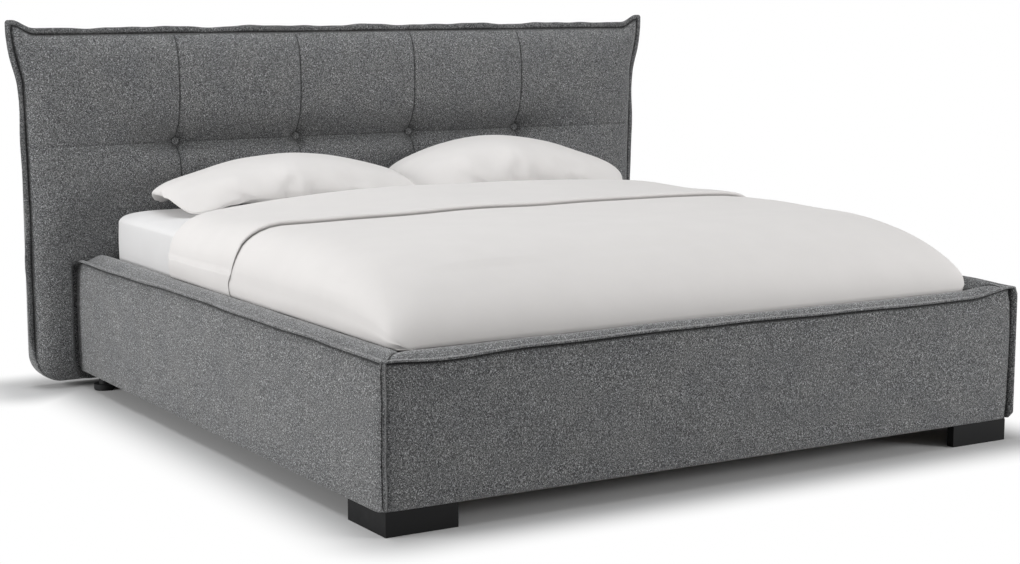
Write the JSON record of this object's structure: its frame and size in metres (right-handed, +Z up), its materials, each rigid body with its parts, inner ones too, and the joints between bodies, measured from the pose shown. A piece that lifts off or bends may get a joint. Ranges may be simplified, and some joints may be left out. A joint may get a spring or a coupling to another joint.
{
  "type": "upholstered bed",
  "caption": "Double bed with a tufted, padded headboard, fabric-covered rails, slat bases, mattress, duvet and pillows.",
  "frame": {"origin": "on the floor under the middle of the whole bed's box", "axes": "+X to the right as seen from the foot end, +Y from the foot end to the headboard, +Z up"},
  "size_m": [2.418, 2.2526, 1.204],
  "materials": {
    "upholstery": "matte",
    "dust_cloth": "matte",
    "bed_linen": "matte",
    "white_cotton": "matte",
    "mattress_foam": "matte",
    "black_legs": "satin",
    "black_plastic": "satin",
    "black_rubber": "matte",
    "black_steel": "satin",
    "zinc_steel": "satin",
    "timber": "matte",
    "beech": "satin"
  },
  "bodies": {
    "bed_frame": {"headboard_panel": "timber", "headboard_uprights": "timber", "headboard_cross_battens": "timber", "headboard_back_cloth": "dust_cloth", "headboard_border": "upholstery", "headboard_seam_flange": "upholstery", "headboard_cushion": "upholstery", "headboard_lower_cushions": "upholstery", "headboard_lower_pad": "upholstery", "headboard_buttons": "upholstery", "headboard_glides": "black_plastic", "headboard_spacer_blocks": "timber", "headboard_brackets": "zinc_steel", "headboard_bolts": "zinc_steel", "left_rail_outer_board": "timber", "left_rail_inner_board": "timber", "left_rail_battens": "timber", "left_rail_padding": "upholstery", "left_rail_seam_flange": "upholstery", "right_rail_outer_board": "timber", "right_rail_inner_board": "timber", "right_rail_battens": "timber", "right_rail_padding": "upholstery", "right_rail_seam_flange": "upholstery", "foot_rail_outer_board": "timber", "foot_rail_inner_board": "timber", "foot_rail_battens": "timber", "foot_rail_padding": "upholstery", "foot_rail_seam_flange": "upholstery", "left_corner_flange": "upholstery", "right_corner_flange": "upholstery", "corner_blocks": "timber", "corner_bolts": "zinc_steel", "left_corner_leg": "black_legs", "right_corner_leg": "black_legs", "leg_bolts": "zinc_steel", "head_foot_sleeves": "black_plastic", "left_ledger": "timber", "right_ledger": "timber", "head_cross_bar": "timber", "centre_beam": "timber", "centre_beam_brackets": "zinc_steel", "centre_legs": "black_steel"},
    "left_head_foot": {"left_head_foot": "black_plastic"},
    "right_head_foot": {"right_head_foot": "black_plastic"},
    "foot_centre_glide": {"foot_centre_glide": "black_plastic"},
    "head_centre_glide": {"head_centre_glide": "black_plastic"},
    "left_slat_base": {"left_slat_frame": "timber", "left_slat_holders": "black_rubber", "left_slats": "beech"},
    "right_slat_base": {"right_slat_frame": "timber", "right_slat_holders": "black_rubber", "right_slats": "beech"},
    "mattress": {"mattress": "mattress_foam", "fitted_sheet": "white_cotton"},
    "duvet": {"duvet": "bed_linen"},
    "left_pillow": {"left_pillow": "bed_linen"},
    "right_pillow": {"right_pillow": "bed_linen"}
  },
  "joints": [
    {"name": "left_slat_base_lift", "type": "slide", "parent": "bed_frame", "child": "left_slat_base", "axis": [0, 0, 1], "range_m": [0, 0.15]},
    {"name": "right_slat_base_lift", "type": "slide", "parent": "bed_frame", "child": "right_slat_base", "axis": [0, 0, 1], "range_m": [0, 0.15]},
    {"name": "mattress_lift", "type": "slide", "parent": "left_slat_base", "child": "mattress", "axis": [0, 0, 1], "range_m": [0, 0.3]},
    {"name": "duvet_lift", "type": "slide", "parent": "mattress", "child": "duvet", "axis": [0, 0, 1], "range_m": [0, 0.35]},
    {"name": "left_pillow_lift", "type": "slide", "parent": "mattress", "child": "left_pillow", "axis": [0, 0, 1], "range_m": [0, 0.25]},
    {"name": "right_pillow_lift", "type": "slide", "parent": "mattress", "child": "right_pillow", "axis": [0, 0, 1], "range_m": [0, 0.25]},
    {"name": "left_head_foot_level", "type": "slide", "parent": "bed_frame", "child": "left_head_foot", "axis": [0, 0, -1], "range_m": [0, 0.012]},
    {"name": "right_head_foot_level", "type": "slide", "parent": "bed_frame", "child": "right_head_foot", "axis": [0, 0, -1], "range_m": [0, 0.012]},
    {"name": "foot_centre_glide_level", "type": "slide", "parent": "bed_frame", "child": "foot_centre_glide", "axis": [0, 0, -1], "range_m": [0, 0.012]},
    {"name": "head_centre_glide_level", "type": "slide", "parent": "bed_frame", "child": "head_centre_glide", "axis": [0, 0, -1], "range_m": [0, 0.012]}
  ],
  "couplings": [
    {"joint": "right_slat_base_lift", "follows": "left_slat_base_lift", "ratio": 1}
  ]
}
